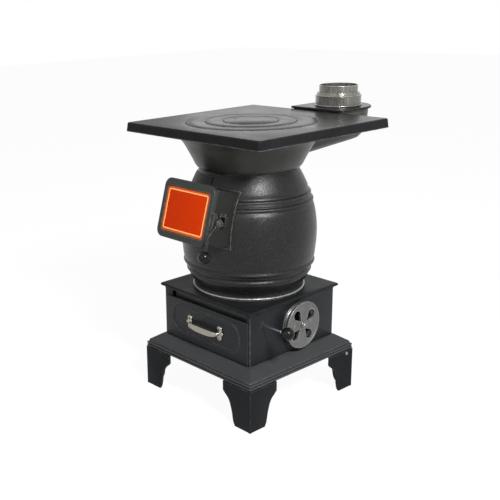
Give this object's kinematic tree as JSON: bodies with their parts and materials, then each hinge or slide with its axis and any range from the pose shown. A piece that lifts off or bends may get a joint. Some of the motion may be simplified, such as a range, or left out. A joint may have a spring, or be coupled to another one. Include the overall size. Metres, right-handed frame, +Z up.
{
  "type": "potbelly stove",
  "caption": "Cast iron potbelly stove with a square cooking plate, lift-off rings, slanted firing door, ash drawer, air register, shaker grate and rear flue collar.",
  "frame": {"origin": "bottom centre of the bounding box, on the floor", "axes": "+Z up, -Y out of the firing door and the ash drawer, +X out of the air register, +Y to the flue"},
  "size_m": [0.5006, 0.7218, 0.801],
  "materials": {
    "black_iron": "satin black stove paint over cast iron, worn grey along the edges",
    "grey_iron": "blacked cast iron with a soft grey sheen",
    "belly_iron": "black cast iron with a fine sand-cast grain",
    "dark_iron": "smooth dark greenish grey iron, satin",
    "dark_steel": "black painted sheet steel, scuffed",
    "raw_steel": "bare steel, dulled and scratched",
    "tinned_steel": "galvanised sheet steel with bright rolled beads",
    "nickel": "bright plated metal",
    "black_ball": "glossy black moulded ball",
    "red_enamel": "red enamel with an orange gold border line"
  },
  "bodies": {
    "stove": {"plinth": "black_iron", "ash_box": "black_iron", "base_plate": "black_iron", "belly": "belly_iron", "smoke_bowl": "dark_iron", "cooking_plate": "grey_iron", "duct_cover": "grey_iron", "flue_collar": "tinned_steel", "flue_spigot": "tinned_steel", "foot_front_left": "black_iron", "foot_front_right": "black_iron", "foot_rear_right": "black_iron", "foot_rear_left": "black_iron", "foot_bolt_right": "raw_steel", "foot_bolt_left": "raw_steel", "register_collar": "raw_steel", "register_bolt": "raw_steel", "register_nut": "raw_steel", "door_hinge_pin": "raw_steel", "latch_keeper": "raw_steel"},
    "ash_drawer": {"ash_pan": "dark_steel", "drawer_front": "black_iron", "drawer_handle": "nickel"},
    "grate": {"grate": "belly_iron"},
    "shaker": {"shaker_rod": "raw_steel", "shaker_ferrule": "nickel", "shaker_knob": "black_ball"},
    "register": {"register_disc": "raw_steel"},
    "door": {"fire_door": "dark_iron", "door_plaque": "red_enamel", "latch_bolt": "raw_steel"},
    "latch": {"latch_lever": "dark_iron", "latch_knob": "black_ball"},
    "outer_ring": {"outer_ring": "grey_iron"},
    "inner_ring": {"inner_ring": "grey_iron"},
    "centre_lid": {"centre_lid": "grey_iron"}
  },
  "joints": [
    {"name": "drawer_slide", "type": "slide", "parent": "stove", "child": "ash_drawer", "axis": [0, -1, 0], "range_m": [0, 0.25]},
    {"name": "grate_turn", "type": "hinge", "parent": "stove", "child": "grate", "pos_m": [-0.01025, -0.09015, 0.298], "axis": [0, 0, 1], "range_deg": [-9.5, 9.5]},
    {"name": "shaker_slide", "type": "slide", "parent": "stove", "child": "shaker", "axis": [1, 0, 0], "range_m": [-0.02, 0.02]},
    {"name": "register_turn", "type": "hinge", "parent": "stove", "child": "register", "pos_m": [0.17065, -0.07575, 0.2253], "axis": [1, 0, 0], "continuous": true},
    {"name": "door_hinge", "type": "hinge", "parent": "stove", "child": "door", "pos_m": [-0.10145, -0.29773, 0.53215], "axis": [0, -0.2756, -0.9613], "range_deg": [0, 110]},
    {"name": "latch_lift", "type": "hinge", "parent": "door", "child": "latch", "pos_m": [0.08975, -0.2957, 0.52325], "axis": [-1, 0, 0], "range_deg": [0, 60]},
    {"name": "outer_ring_lift", "type": "slide", "parent": "stove", "child": "outer_ring", "axis": [0, 0, 1], "range_m": [0, 0.08]},
    {"name": "inner_ring_lift", "type": "slide", "parent": "outer_ring", "child": "inner_ring", "axis": [0, 0, 1], "range_m": [0, 0.08]},
    {"name": "lid_lift", "type": "slide", "parent": "inner_ring", "child": "centre_lid", "axis": [0, 0, 1], "range_m": [0, 0.08]}
  ],
  "couplings": [
    {"joint": "shaker_slide", "follows": "grate_turn", "m_per_rad": 0.116}
  ]
}
